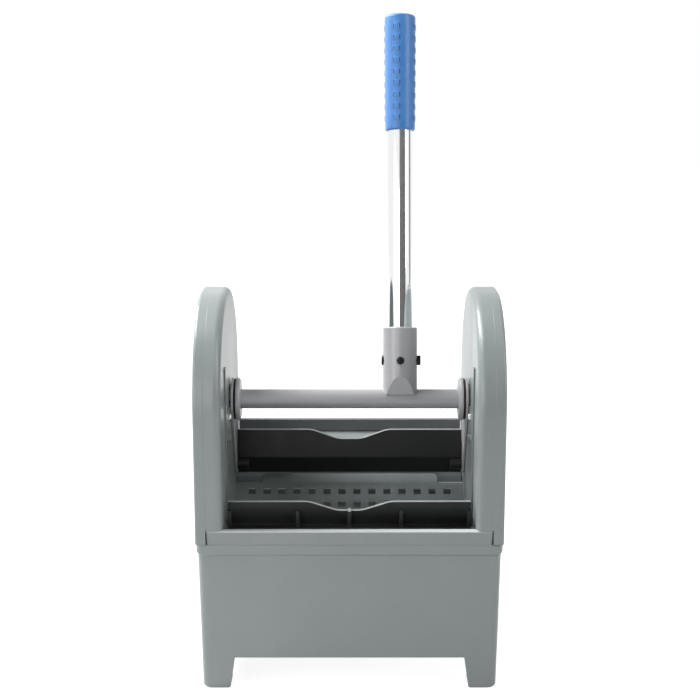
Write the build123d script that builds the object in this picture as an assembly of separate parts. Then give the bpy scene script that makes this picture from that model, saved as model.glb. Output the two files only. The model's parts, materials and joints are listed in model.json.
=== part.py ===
from build123d import *
from math import asin, cos, hypot, radians, sin, sqrt, tan
import os

# Press wringer for wet mops, in millimetres. X runs along the cross shaft, +Y to the back, +Z up.
# The origin lies on the floor, under the middle of the body.

# Body and side housings
body_width = 300.8  # over the outer covers
body_depth = 232.0  # front to back
axle_rise = 104.0  # cross shaft above the ring that the housings stand on
arch_rise = 114.0  # top of the arches above the axle
crown_half = 12.0  # half the flat top of an arch, between its round shoulders
housing_depth = 27.2  # side housing, from its inner face to its outer face
wall = 3.0  # moulded wall
cover_depth = 10.5  # outer cover, from its face to the seam on the rim
rim_round = 3.0  # outer edge of the arches
inner_rim_round = 7.0  # inner edge of the arches
cover_screw_inset = 18.0  # cover screws from the edge of the housing
cover_screw_angle = 30.0  # degrees, up the shoulders
low_screw_rise = 42.0  # two more above the lip

# Tub that the housings stand on
lip_height = 141.0  # underside of the lip
lip_thickness = 11.0
lip_inset = 0.2  # ends of the lip inside the faces of the covers
lip_round = 2.0
skirt_side_inset = 1.4  # skirt inside the lip, at its sides
skirt_front_inset = 2.0  # and at its front and back
skirt_corner = 12.0
skirt_draft = 1.15  # degrees, narrower towards the floor
ring_rise = 14.0  # upstand ring above the lip
ring_wall = 6.0  # its thickness at the front and back
ring_inset = 0.3  # top of the ring inside the front and back of the lip
ring_draft = 4.0  # degrees, narrower towards the lip
ring_corner = 2.6
ring_edge = 2.0  # rounding of its top edge
foot_height = 33.2
foot_width = 33.0  # at the edge of the apron
foot_slope = 5.0  # each foot is this much narrower at the floor
foot_round = 4.0
apron_edge = 1.0  # rounding of the lower edge between the feet
shelf_width = 12.0  # shelf under each inner panel
ledge_depth = 11.0  # ledge under the front jaw
ledge_drop = 5.0  # top of the ledge below the top of the ring
rear_wall_rise = 50.1  # above the ring
rear_wall_setback = 2.5  # from the back of the body
strip_height = 13.0  # dark strip on the rear wall
strip_rise = 4.0  # strip above the wall
strip_wall = 1.9
strip_edge = 0.5  # rounding of its lower edges
chute_gap = 1.0  # top of the chute below the strip
chute_ledge = 25.0  # level top of the chute, from the rear wall forwards
chute_run = 9.0  # front of the chute leans forwards by this much
chute_fall = 50.0
chute_bend = 6.0

# Screws and fits
fit = 0.05  # radial running clearance
seat_gap = 0.3  # between pieces that move past each other
near = 0.01  # tolerance when edges are picked by place or size
screw_size = 4.0
head_overhang = 2.0  # screw head beyond the shank
head_height = 2.4
head_round = 0.45  # rounding of a head, as a part of its height
boss_wall = 2.5  # round a screw
well_room = 2.0  # round the head in a screw well
well_depth = 6.0
well_edge = 0.8  # rounding of its mouth
panel_screw_inset = 36.0  # outer panel screws from the front and back
panel_screw_length = 16.0
basket_screw_places = ((-38.0, -10.0), (46.0, -18.0))  # on each cheek, Y and Z from the axle
basket_screw_length = 12.0

# Cross shaft with its discs, washers and crank arms
shaft_size = 20.0
disc_size = 44.0
disc_thickness = 4.5
disc_flare = 5.0
disc_edge = 3.0  # rounding of a disc's inner edge
washer_thickness = 2.2
washer_size = 42.0
washer_edge = 0.6
arm_thickness = 2.4
arm_edge = 0.5
arm_side_gap = 0.3  # arm to the cheek of the sieve basket
arm_hub_size = 44.0
arm_pin_boss = 18.0
arm_peg_boss = 12.0
spigot_size = 15.0  # square ends that drive the crank arms
axle_size = 10.0
bush_size = 16.0
bush_flange = 30.0
bush_flange_thickness = 1.6
bush_length = 9.2
bearing_boss_size = 28.0

# Spring hub, spiral spring and retaining ring inside each housing
hub_size = 22.0
axle_flat = 1.0  # depth of the flat on each end of the rod
spring_side_gap = 1.2  # spring inside the ends of its hub
spring_strip = 0.9
spring_start = 12.5  # radius where the spiral leaves the hub
spring_pitch = 3.0
spring_half_turns = 7
spring_tang = 4.1  # inner end, bent into the hub
spring_eye = 8.4
spring_post = 6.0
clip_size = 15.0
clip_width = 1.0
clip_groove = 8.0  # diameter of the rod in the groove
clip_margin = 1.65  # rod beyond the groove
axle_end_gap = 2.0  # rod's end to the cover

# Handle
handle_offset = 52.0  # from the middle, to the right
handle_lean = 11.0  # degrees to the back, when the handle is at rest
socket_wall = 4.95  # round the tube
socket_top = 73.7  # above the axle
socket_foot = 5.0
socket_floor = 20.0  # underside of the tube
socket_flat_top = 23.6
socket_flat_half = 10.7  # half the width between the flats at the foot
socket_screw_rise = 39.7  # screws and bolt above the axle
socket_seat_depth = 1.1  # flat seats under their heads
socket_head_overhang = 1.7
socket_head_height = 2.6
bolt_size = 6.0  # bolt across the socket and tube
bolt_head_overhang = 2.5
nut_wall = 2.0  # from the bolt to the flats
nut_height = 4.6
tube_size = 25.4
tube_wall = 1.5
grip_length = 118.4
grip_top = 394.1  # above the axle
grip_end_wall = 6.0
grip_wall = 2.1  # at the lower end
grip_taper = 2.4  # wider at the top by this much
grip_edge = 1.2
rib_count = 9
rib_pitch = 11.6
rib_height = 6.8
rib_proud = 0.6
rib_span = 26.0  # degrees round the grip
rib_turn = -15.0  # first panel of ribs, from +X

# Jaws: plates that bend towards the mop, with a dip for the mop's stem
jaw_thickness = 3.6
jaw_upper = 29.6  # height above the bend
jaw_upper_lean = 5.0
jaw_lower = 17.7
jaw_lower_lean = 6.0
jaw_bend_round = 5.0
jaw_edge = 0.8  # rounding of its top and bottom edges
dip_half_width = 40.0
dip_depth = 9.5
jaw_rib_spacing = 51.0
jaw_rib_thickness = 3.0
jaw_rib_depth = 11.0
jaw_rib_low = -8.0
jaw_rib_high = 20.0  # fixed jaw
rear_rib_high = 16.0  # moving jaw
rear_jaw_gap = 0.4  # moving jaw to each arm
rear_jaw_y = 27.0  # bend of the moving jaw behind the axle
rear_jaw_rise = 33.3  # and above the ring
jaw_pin_size = 7.4
jaw_pin_back = 2.6  # pin axis behind and below the bend
jaw_pin_drop = 7.4
jaw_pin_boss = 12.0
jaw_pin_depth = 12.0
jaw_stop_rise = 14.0  # jaw stop above the bend
jaw_stop_size = 6.0
jaw_stop_reach = 8.0
front_jaw_gap = 2.2  # fixed jaw to each cheek
front_jaw_setback = 25.0  # its bend behind the inside of the ring
front_screw_back = 5.5  # from the inside of the ring
front_screw_bite = 2.4  # into the flange, from below

# Sieve
sieve_thickness = 2.5
sieve_edge = 1.0  # rounding of the top of the ramp
ramp_top_y = 45.0
ramp_rise = 10.0  # top of the ramp above the ring
ramp_slope = 41.0  # degrees
ramp_fall = 52.7  # from the top of the ramp to its foot
floor_fall = 6.0  # from there to the front of the floor
sieve_front_gap = 5.2  # front edge of the sieve to the bend of the fixed jaw
sieve_front_run = 17.0  # front wall leans out by this much
sieve_front_rise = 28.0
ramp_bend = 20.0
floor_bend = 12.0
shoulder_inset = 27.2  # from each cheek to the high middle part of the ramp
shoulder_drop = 7.0
shoulder_round = 6.0
hole_size = 7.8
hole_margin = 17.55  # cheek to the middle of the last hole
hole_count = 14
hole_rows = 4
row_pitch = 15.7
first_row = 22.5  # down the ramp
cheek_thickness = 1.6
cheek_setback = 9.5  # front edge of a cheek behind the front edge of the sieve
cheek_drop = 2.0  # top of a cheek below the axle
cheek_back = 57.0
cheek_notch_gap = 1.0
tongue_width = 8.0
tongue_rise = 47.0  # top of its tongue above the axle
lever_stop_size = 8.0
lever_stop_distance = 46.0  # along the edge of the arm, from the axle
lever_travel = 55.0  # degrees

# Sizes and places that follow: body
cover_face = body_width / 2
panel_face = cover_face - housing_depth
seam = cover_face - cover_depth
lip_top = lip_height + lip_thickness
lip_width = body_width - 2 * lip_inset
skirt_width = lip_width - 2 * skirt_side_inset
skirt_depth = body_depth - 2 * skirt_front_inset
ring_top = lip_top + ring_rise
ring_depth = body_depth - 2 * ring_inset
ring_inside = ring_depth / 2 - ring_rise * tan(radians(ring_draft)) - ring_wall
axle_height = ring_top + axle_rise
rear_wall_top = ring_top + rear_wall_rise
ledge_top = ring_top - ledge_drop

# Screws
hole_radius = screw_size / 2 + fit
head_size = screw_size + 2 * head_overhang
boss_size = screw_size + 2 * boss_wall
well_size = head_size + 2 * well_room + wall
well_floor = cover_face - well_depth
post_end = well_floor - wall
panel_screw_x = (panel_face + wall + seam) / 2
panel_screw_out = body_depth / 2 - panel_screw_inset
panel_screw_places = [-panel_screw_out, 0, panel_screw_out]

# Shaft, from the sieve's cheeks inwards, and springs, from the covers inwards
cheek_face = panel_face - cheek_thickness
arm_outer = cheek_face - arm_side_gap
arm_inner = arm_outer - arm_thickness
washer_inner = arm_inner - seat_gap - washer_thickness
disc_inner = washer_inner - disc_thickness
axle_half = cover_face - wall - axle_end_gap
groove_end = axle_half - clip_margin
clip_end = groove_end - fit
hub_end = clip_end - clip_width - 2 * fit
bush_end = panel_face + bush_length
hub_start = bush_end + seat_gap
spring_post_drop = spring_start + spring_half_turns * spring_pitch / 2 + spring_eye / 2

# Handle
socket_size = tube_size + 2 * socket_wall
socket_screw_head = screw_size + 2 * socket_head_overhang
bolt_head = bolt_size + 2 * bolt_head_overhang
nut_flats = bolt_size + 2 * nut_wall
grip_foot_size = tube_size + 2 * grip_wall
grip_top_size = grip_foot_size + grip_taper
screw_turns = (90, 270)  # screws at the back and front of the socket
bolt_turns = (0, 180)  # bolt ends at its right and left

# Jaws and sieve
rear_jaw_length = 2 * (arm_inner - rear_jaw_gap)
rear_jaw_z = ring_top + rear_jaw_rise
jaw_pin_y = rear_jaw_y + jaw_pin_back
jaw_pin_z = rear_jaw_z - jaw_pin_drop
jaw_stop_y = rear_jaw_y + jaw_rib_depth + seat_gap + jaw_stop_size / 2
jaw_stop_z = rear_jaw_z + jaw_stop_rise
front_jaw_length = 2 * (cheek_face - front_jaw_gap)
front_jaw_y = front_jaw_setback - ring_inside
front_jaw_z = ledge_top - jaw_thickness / 2
front_screw_y = front_screw_back - ring_inside
front_screw_places = [front_jaw_length / 8 * step for step in (-3, -1, 1, 3)]
ramp_top_z = ring_top + ramp_rise
sieve_front_y = front_jaw_y + sieve_front_gap
shoulder_width = 2 * (cheek_face - shoulder_inset)
hole_pitch = 2 * (cheek_face - hole_margin) / (hole_count - 1)
cheek_top = axle_height - cheek_drop
tongue_top = axle_height + tongue_rise


def along_x(radius, start, end, y=0.0, z=axle_height):
    # Round bar between two X positions
    return Pos((start + end) / 2, y, z) * Rot(0, 90, 0) * Cylinder(radius, abs(end - start))


def block(x_low, x_high, y_low, y_high, z_low, z_high):
    centre = Pos((x_low + x_high) / 2, (y_low + y_high) / 2, (z_low + z_high) / 2)
    return centre * Box(x_high - x_low, y_high - y_low, z_high - z_low)


def side_plate(face, start, end):
    # Outline drawn in Y and Z, given a thickness between two X positions
    return extrude(Plane.YZ.offset(start) * face, end - start)


def mirrored(piece):
    return mirror(piece, Plane.YZ)


def leaned(piece):
    # Handle pieces are drawn upright and lean back about the axle
    return Pos(0, 0, axle_height) * Rot(-handle_lean, 0, 0) * Pos(0, 0, -axle_height) * piece


def rounded_block(width, depth, corner, low, high, draft=0.0):
    # Upright block with round corners that narrows downwards by the draft angle
    shrink = (high - low) * tan(radians(draft))
    foot = RectangleRounded(width - 2 * shrink, depth - 2 * shrink, corner - shrink)
    top = RectangleRounded(width, depth, corner)
    return loft([Pos(0, 0, low) * foot, Pos(0, 0, high) * top], ruled=True)


def arch_outline(bottom, inset):
    # Straight flanks, round shoulders and a short flat crown
    half = body_depth / 2 - inset
    foot = bottom + inset
    top = axle_height + arch_rise - inset
    blank = Pos(0, (foot + top) / 2) * Rectangle(2 * half, top - foot)
    return fillet(blank.vertices().group_by(Axis.Y)[-1], half - crown_half)


def cover_screw_places():
    # Y and Z of the screws that hold an outer cover
    shoulder = body_depth / 2 - crown_half
    reach = shoulder - cover_screw_inset
    middle = axle_height + arch_rise - shoulder
    rise = reach * sin(radians(cover_screw_angle))
    out = crown_half + reach * cos(radians(cover_screw_angle))
    low = lip_top + low_screw_rise
    edge = body_depth / 2 - cover_screw_inset
    return [(0, middle + reach), (out, middle + rise), (-out, middle + rise), (edge, low), (-edge, low)]


def basket_screw_spots():
    return [(y, axle_height + z) for y, z in basket_screw_places]


def foot_gap(half_width, length, grow):
    # Gap between two feet, wider at the floor, drawn in X and Z and running along Y
    top = half_width - grow
    floor = top + foot_slope
    outline = Polyline((-floor, 0), (-top, foot_height), (top, foot_height), (floor, 0), close=True)
    return extrude(Plane.XZ * make_face(outline), length / 2, both=True)


def foot_gaps(grow):
    shrink = (lip_height - foot_height) * tan(radians(skirt_draft))
    front = foot_gap(skirt_width / 2 - shrink - foot_width, body_depth, grow)
    side = foot_gap(skirt_depth / 2 - shrink - foot_width, body_width, grow)
    return front + Rot(0, 0, 90) * side


def base_tub():
    skirt = rounded_block(skirt_width, skirt_depth, skirt_corner, 0, lip_height, skirt_draft)
    skirt -= foot_gaps(0)
    skirt = fillet(skirt.edges().group_by(Axis.Z)[0], foot_round)
    tops = skirt.faces().filter_by(Axis.Z).filter_by_position(Axis.Z, foot_height - near, foot_height + near)
    low_edges = [edge for face in tops for edge in face.edges() if edge.length > body_depth / 2]
    skirt = fillet(low_edges, apron_edge)
    inside = (skirt_width - 2 * wall, skirt_depth - 2 * wall, skirt_corner - wall)
    room = rounded_block(*inside, 0, lip_height, skirt_draft)
    room -= block(-body_width, body_width, -body_depth, body_depth, 0, wall)
    tub = skirt - (room - foot_gaps(wall))

    lip = rounded_block(lip_width, body_depth, skirt_corner, lip_height, lip_top)
    lip = fillet(lip.faces().sort_by(Axis.Z)[0].edges() + lip.faces().sort_by(Axis.Z)[-1].edges(), lip_round)
    lip -= rounded_block(*inside, lip_height, lip_top - wall)
    tub += lip
    ring = rounded_block(2 * seam, ring_depth, ring_corner, lip_top - wall, ring_top, ring_draft)
    tub += fillet(ring.faces().sort_by(Axis.Z)[-1].edges(), ring_edge)
    tub -= rounded_block(2 * (seam - wall), 2 * ring_inside, ring_corner, lip_top - wall, ring_top)

    shelf_edge = seam - wall - shelf_width
    for side in (-1, 1):
        low, high = sorted((side * shelf_edge, side * (seam - wall / 2)))
        tub += block(low, high, -ring_inside, ring_inside, ring_top - wall, ring_top)
        for y in panel_screw_places:
            boss_height = panel_screw_length - wall
            boss = Pos(side * panel_screw_x, y, ring_top - boss_height / 2)
            tub += boss * Cylinder(boss_size / 2, boss_height)
            tub -= boss * Cylinder(hole_radius, boss_height)
    ledge_half = front_jaw_length / 2 - wall
    tub += block(-ledge_half, ledge_half, -ring_inside - wall / 2, ledge_depth - ring_inside,
                 ledge_top - wall, ledge_top)
    for x in front_screw_places:
        tub -= Pos(x, front_screw_y, ledge_top - wall / 2) * Cylinder(hole_radius, wall)
    wall_half = panel_face - seat_gap
    wall_back = body_depth / 2 - rear_wall_setback
    tub += block(-wall_half, wall_half, wall_back - wall, wall_back, ring_top - wall, rear_wall_top)
    chute_back = wall_back - wall / 2
    chute_front = chute_back - chute_ledge
    chute_z = rear_wall_top + strip_rise - strip_height - chute_gap - wall / 2
    chute = FilletPolyline((chute_back, chute_z), (chute_front, chute_z),
                           (chute_front - chute_run, chute_z - chute_fall), radius=chute_bend)
    return tub + side_plate(trace(chute, wall), -wall_half, wall_half)


def rear_splash_strip():
    # Channel that is pushed over the top edge of the rear wall
    half = panel_face - seat_gap
    wall_middle = body_depth / 2 - rear_wall_setback - wall / 2
    channel_half = wall / 2 + fit
    top = rear_wall_top + strip_rise
    outer = channel_half + strip_wall
    strip = block(-half, half, wall_middle - outer, wall_middle + outer, top - strip_height, top)
    strip = fillet(strip.edges().filter_by(Axis.X).group_by(Axis.Z)[-1], strip_wall / 2)
    strip = fillet(strip.edges().filter_by(Axis.X).group_by(Axis.Z)[0], strip_edge)
    return strip - block(-half, half, wall_middle - channel_half, wall_middle + channel_half,
                         top - strip_height, rear_wall_top)


def rim_edges(tray, x):
    # Arch and flank edges at one X position, without the edge along the foot
    edges = tray.edges().filter_by_position(Axis.X, x - near, x + near)
    foot = tray.bounding_box().min.Z
    return edges.filter_by(lambda edge: edge.center().Z > foot + wall)


def inner_panel():
    # Right-hand inner half of a side housing, open towards the outer cover
    tray = side_plate(arch_outline(ring_top, 0), panel_face, seam)
    tray = fillet(rim_edges(tray, panel_face), inner_rim_round)
    room = side_plate(arch_outline(ring_top, wall), panel_face + wall, seam)
    room = fillet(rim_edges(room, panel_face + wall), inner_rim_round - wall)
    panel = tray - room
    inside = panel_face + wall / 2
    panel += along_x(bearing_boss_size / 2, inside, bush_end - seat_gap)
    panel -= along_x(bush_size / 2 + fit, panel_face, bush_end)
    panel += along_x(spring_post / 2, inside, hub_end, 0, axle_height - spring_post_drop)
    for y, z in cover_screw_places():
        panel += along_x(boss_size / 2, inside, post_end, y, z)
        panel -= along_x(hole_radius, panel_face + wall, post_end, y, z)
    for y, z in basket_screw_spots():
        panel += along_x(boss_size / 2, inside, cheek_face + basket_screw_length, y, z)
        panel -= along_x(hole_radius, panel_face, cheek_face + basket_screw_length, y, z)
    for y in panel_screw_places:
        panel -= Pos(panel_screw_x, y, ring_top + wall / 2) * Cylinder(hole_radius, wall)
    return panel


def outer_cover():
    # Right-hand outer half of a side housing, with a well for each screw
    tray = side_plate(arch_outline(lip_top, 0), seam, cover_face)
    tray = fillet(rim_edges(tray, cover_face), rim_round)
    room = side_plate(arch_outline(lip_top, wall), seam, cover_face - wall)
    cover = tray - room
    for y, z in cover_screw_places():
        cover += along_x(well_size / 2, post_end, cover_face - wall / 2, y, z)
        cover -= along_x(well_size / 2 - wall / 2, well_floor, cover_face, y, z)
        cover -= along_x(hole_radius, post_end, well_floor, y, z)
    mouths = cover.edges().filter_by_position(Axis.X, cover_face - near, cover_face + near)
    mouths = mouths.filter_by(GeomType.CIRCLE).filter_by(lambda edge: edge.radius < well_size)
    return fillet(mouths, well_edge)


def screw(length, head=head_size, height=head_height, shank=screw_size):
    # Pan head on the XY plane, shank pointing down
    top = Pos(0, 0, height / 2) * Cylinder(head / 2, height)
    top = fillet(top.edges().group_by(Axis.Z)[-1], height * head_round)
    return top + Pos(0, 0, -length / 2) * Cylinder(shank / 2, length)


def cover_screws():
    length = post_end - panel_face - wall
    right = [
        Pos(well_floor, y, z) * Rot(0, 90, 0) * screw(length) for y, z in cover_screw_places()
    ]
    return Compound(right + [mirrored(s) for s in right])


def panel_screws():
    return Compound([
        Pos(side * panel_screw_x, y, ring_top + wall) * screw(panel_screw_length)
        for side in (-1, 1)
        for y in panel_screw_places
    ])


def basket_screws():
    right = [
        Pos(cheek_face, y, z) * Rot(0, -90, 0) * screw(basket_screw_length)
        for y, z in basket_screw_spots()
    ]
    return Compound(right + [mirrored(s) for s in right])


def bush():
    body = along_x(bush_size / 2, panel_face, bush_end)
    flange = along_x(bush_flange / 2, panel_face - bush_flange_thickness, panel_face)
    return body + flange - along_x(axle_size / 2 + fit, panel_face - wall, bush_end)


def sieve_path():
    # Section of the sieve in Y and Z, from the top of the ramp to its front edge
    ramp_foot_y = ramp_top_y - ramp_fall / tan(radians(ramp_slope))
    ramp_foot_z = ramp_top_z - ramp_fall
    floor_z = ramp_foot_z - floor_fall
    return [
        (ramp_top_y, ramp_top_z),
        (ramp_foot_y, ramp_foot_z),
        (sieve_front_y + sieve_front_run, floor_z),
        (sieve_front_y, floor_z + sieve_front_rise),
    ]


def stop_place(lobe_y, lobe_z, lobe_size, side, turn):
    # Centre of a stop that meets the arm's straight edge between its hub and a lobe.
    # The side is +1 for the rear edge, and the turn is the arm's swing in degrees.
    reach_y, reach_z = lobe_y, lobe_z - axle_height
    reach = hypot(reach_y, reach_z)
    along_y, along_z = reach_y / reach, reach_z / reach
    across_y, across_z = -along_z * side, along_y * side
    lean = (arm_hub_size - lobe_size) / 2 / reach
    square = sqrt(1 - lean**2)
    normal_y = lean * along_y + square * across_y
    normal_z = lean * along_z + square * across_z
    edge_y = square * along_y - lean * across_y
    edge_z = square * along_z - lean * across_z
    offset = arm_hub_size / 2 + seat_gap + lever_stop_size / 2
    y = normal_y * offset + edge_y * lever_stop_distance
    z = normal_z * offset + edge_z * lever_stop_distance
    c, s = cos(radians(turn)), sin(radians(turn))
    return y * c + z * s, axle_height + z * c - y * s


def sieve_basket():
    points = sieve_path()
    path = FilletPolyline(*points, radius=[ramp_bend, floor_bend])
    section_face = trace(path, sieve_thickness)
    trough = side_plate(section_face, -cheek_face, cheek_face)
    for side in (-1, 1):
        low, high = sorted((side * shoulder_width / 2, side * panel_face))
        trough -= block(low, high, 0, body_depth / 2, ramp_top_z - shoulder_drop, axle_height)
    corners = trough.edges().filter_by(lambda e: abs(e.length - sieve_thickness) < near)
    trough = fillet(corners.group_by(Axis.Z)[-1], shoulder_round)
    top = trough.edges().filter_by(Axis.X).filter_by(lambda e: e.length > shoulder_width / 2)
    trough = fillet(top.group_by(lambda e: e.center().Y > ramp_top_y - sieve_thickness)[True], sieve_edge)
    ramp = Plane(origin=(0, ramp_top_y, ramp_top_z), x_dir=(1, 0, 0),
                 z_dir=(0, -sin(radians(ramp_slope)), cos(radians(ramp_slope))))
    grid_middle = first_row + (hole_rows - 1) * row_pitch / 2
    grid = GridLocations(hole_pitch, row_pitch, hole_count, hole_rows)
    holes = [ramp * Pos(0, -grid_middle) * place * Rectangle(hole_size, hole_size) for place in grid]
    trough -= extrude(Sketch() + holes, 2 * sieve_thickness, both=True)

    rise = (cheek_back - ramp_top_y) * tan(radians(ramp_slope))
    cheek_front = sieve_front_y + cheek_setback
    outline = Polyline(*points[::-1], (cheek_back, ramp_top_z + rise), (cheek_back, cheek_top),
                       (cheek_front, cheek_top), (cheek_front, points[-1][1] + cheek_setback), close=True)
    tongue = Pos(cheek_front + tongue_width / 2, (cheek_top + tongue_top) / 2)
    cheek_shape = make_face(outline) + tongue * Rectangle(tongue_width, tongue_top - cheek_top)
    cheek = side_plate(cheek_shape, cheek_face, panel_face)
    cheek -= along_x(bush_flange / 2 + cheek_notch_gap, cheek_face, panel_face)
    rest = stop_place(jaw_stop_y, jaw_stop_z, arm_peg_boss, 1, 0)
    end = stop_place(jaw_pin_y, jaw_pin_z, arm_pin_boss, -1, lever_travel)
    for y, z in (rest, end):
        cheek += along_x(lever_stop_size / 2, arm_inner, panel_face, y, z)
    for y, z in basket_screw_spots():
        cheek -= along_x(hole_radius, cheek_face, panel_face, y, z)
    return trough + cheek + mirrored(cheek)


def dip_cutter(top):
    # Smooth dip in the top edge of a jaw: a hollow arc between two rounded shoulders
    radius = (dip_half_width**2 + dip_depth**2) / (4 * dip_depth)
    half_turn = asin(dip_half_width / 2 / radius) / 2
    shoulder_x = dip_half_width - radius * sin(half_turn)
    shoulder_z = radius * (cos(half_turn) - 1)
    turn_x, turn_z = dip_half_width / 2, -dip_depth / 2
    bottom = ThreePointArc((-turn_x, turn_z), (0, -dip_depth), (turn_x, turn_z))
    right = ThreePointArc((turn_x, turn_z), (shoulder_x, shoulder_z), (dip_half_width, 0))
    left = ThreePointArc((-turn_x, turn_z), (-shoulder_x, shoulder_z), (-dip_half_width, 0))
    lid = Polyline((dip_half_width, 0), (dip_half_width, dip_depth), (-dip_half_width, dip_depth),
                   (-dip_half_width, 0))
    face = make_face(bottom + right + left + lid)
    return extrude(Plane.XZ * Pos(0, top) * face, body_depth / 4, both=True)


def jaw_blank(length, rib_high):
    # Bent plate with ribs behind it. Its bend lies on the X axis and its back faces +Y.
    front = [(jaw_lower_lean, -jaw_lower), (0, 0), (jaw_upper_lean, jaw_upper)]
    back = [(y + jaw_thickness, z) for y, z in front[::-1]]
    plate = side_plate(make_face(Polyline(*front, *back, close=True)), -length / 2, length / 2)
    bend = plate.edges().filter_by(Axis.X).filter_by_position(Axis.Z, -near, near)
    plate = fillet(bend, jaw_bend_round)
    plate -= dip_cutter(jaw_upper)
    tops = plate.faces().filter_by(lambda face: face.normal_at().Z > abs(face.normal_at().X) + near)
    rims = [edge for face in tops for edge in face.edges() if edge.length > 1.5 * jaw_thickness]
    plate = fillet(rims + plate.edges().filter_by(Axis.X).group_by(Axis.Z)[0], jaw_edge)
    web = jaw_thickness / 2
    rib_outline = Polyline(
        (jaw_lower_lean + web, jaw_rib_low - jaw_thickness),
        (jaw_rib_depth, jaw_rib_low),
        (jaw_rib_depth, rib_high),
        (web + jaw_upper_lean * rib_high / jaw_upper, rib_high + web),
        (web, 0),
        close=True,
    )
    rib_face = make_face(rib_outline)
    half = jaw_rib_thickness / 2
    end = length / 2
    starts = [-jaw_rib_spacing - half, -half, jaw_rib_spacing - half, -end, end - jaw_rib_thickness]
    for start in starts:
        plate += side_plate(rib_face, start, start + jaw_rib_thickness)
    return plate


def rear_jaw():
    jaw = jaw_blank(rear_jaw_length, rear_rib_high)
    end = rear_jaw_length / 2
    pin = (jaw_pin_back, -jaw_pin_drop)
    for side in (-1, 1):
        jaw += along_x(jaw_pin_boss / 2, side * (end - jaw_pin_depth), side * end, *pin)
        jaw -= along_x(jaw_pin_size / 2 + fit, side * (end - jaw_pin_depth), side * end, *pin)
    return Pos(0, rear_jaw_y, rear_jaw_z) * jaw


def front_jaw():
    jaw = jaw_blank(front_jaw_length, jaw_rib_high)
    end = front_jaw_length / 2
    flange_end = ring_inside + front_jaw_y - seat_gap
    flange_low = ledge_top - front_jaw_z
    flange = block(-end, end, jaw_thickness / 2, flange_end, flange_low, flange_low + wall)
    for x in front_screw_places:
        place = Pos(-x, -front_screw_y + front_jaw_y, flange_low + front_screw_bite / 2)
        flange -= place * Cylinder(hole_radius, front_screw_bite)
    jaw += flange
    return Pos(0, front_jaw_y, front_jaw_z) * Rot(0, 0, 180) * jaw


def front_jaw_screws():
    # Up through the ledge of the tub into the flange
    length = wall + front_screw_bite
    return Compound([
        Pos(x, front_screw_y, ledge_top - wall) * Rot(180, 0, 0) * screw(length) for x in front_screw_places
    ])


def lever_shaft():
    end = disc_inner + disc_thickness
    shaft = along_x(shaft_size / 2, -end, end)
    for side in (-1, 1):
        shaft += along_x(disc_size / 2, side * disc_inner, side * end)
    rings = shaft.edges().filter_by(GeomType.CIRCLE)
    roots = rings.filter_by(lambda e: e.radius < disc_size / 2 - near)
    rims = rings.filter_by(lambda e: e.radius > disc_size / 2 - near and abs(e.center().X) < end - near)
    shaft = fillet(roots, disc_flare)
    shaft = fillet(rims, disc_edge)
    spigot = arm_outer - seat_gap / 2
    half = spigot_size / 2
    for side in (-1, 1):
        low, high = sorted((side * (end - disc_thickness / 2), side * spigot))
        shaft += block(low, high, -half, half, axle_height - half, axle_height + half)

    shaft += leaned(handle_socket())
    for hole in (tube_bore(), *socket_seat_cuts()):
        shaft -= leaned(hole)
    return shaft - along_x(axle_size / 2 + fit, -spigot, spigot)


def handle_socket():
    # Upright cylinder with a flat at the front and back of its foot
    foot = axle_height + socket_foot
    top = axle_height + socket_top
    socket = Pos(handle_offset, 0, (foot + top) / 2) * Cylinder(socket_size / 2, top - foot)
    socket = fillet(socket.edges().group_by(Axis.Z)[-1], wall / 3)
    edge = socket_size / 2
    flat = make_face(Polyline(
        (edge, axle_height + socket_flat_top),
        (socket_flat_half, foot),
        (edge + wall, foot),
        (edge + wall, axle_height + socket_flat_top),
        close=True,
    ))
    cutter = side_plate(flat, handle_offset - edge, handle_offset + edge)
    socket -= cutter
    return socket - mirror(cutter, Plane.XZ)


def tube_bore():
    floor = axle_height + socket_floor
    top = axle_height + socket_top
    return Pos(handle_offset, 0, (floor + top) / 2) * Cylinder(tube_size / 2 + fit, top - floor)


def socket_seat_cuts():
    # Seats and holes for the screws and the bolt
    cuts = []
    for place in socket_seats(screw_turns):
        cuts.append(place * Pos(0, 0, wall / 2) * Cylinder(socket_screw_head / 2 + seat_gap, wall))
        cuts.append(place * Cylinder(hole_radius, socket_size / 2))
    for place in socket_seats(bolt_turns):
        cuts.append(place * Pos(0, 0, wall / 2) * Cylinder(nut_flats / sqrt(3) + seat_gap, wall))
        cuts.append(place * Cylinder(bolt_size / 2 + fit, socket_size / 2))
    return cuts


def socket_seats(turns):
    # Flat seats round the socket, with their axes pointing outwards
    base = Pos(handle_offset, 0, axle_height + socket_screw_rise)
    seat = socket_size / 2 - socket_seat_depth
    return [base * Rot(0, 0, turn) * Pos(seat, 0, 0) * Rot(0, 90, 0) for turn in turns]


def socket_screws():
    length = socket_size / 2 - tube_size / 2 + tube_wall
    piece = screw(length, socket_screw_head, socket_head_height)
    return Compound([leaned(place * piece) for place in socket_seats(screw_turns)])


def cross_bolt():
    # Dome-headed bolt from the left, with its nut on the right
    right, left = socket_seats(bolt_turns)
    span = socket_size - 2 * socket_seat_depth
    bolt = left * screw(span + nut_height, bolt_head, socket_head_height, bolt_size)
    nut = extrude(RegularPolygon(nut_flats / 2, 6, major_radius=False), nut_height)
    nut -= Pos(0, 0, nut_height / 2) * Cylinder(bolt_size / 2 + fit, nut_height)
    return Compound([leaned(bolt), leaned(right * nut)])


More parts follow.
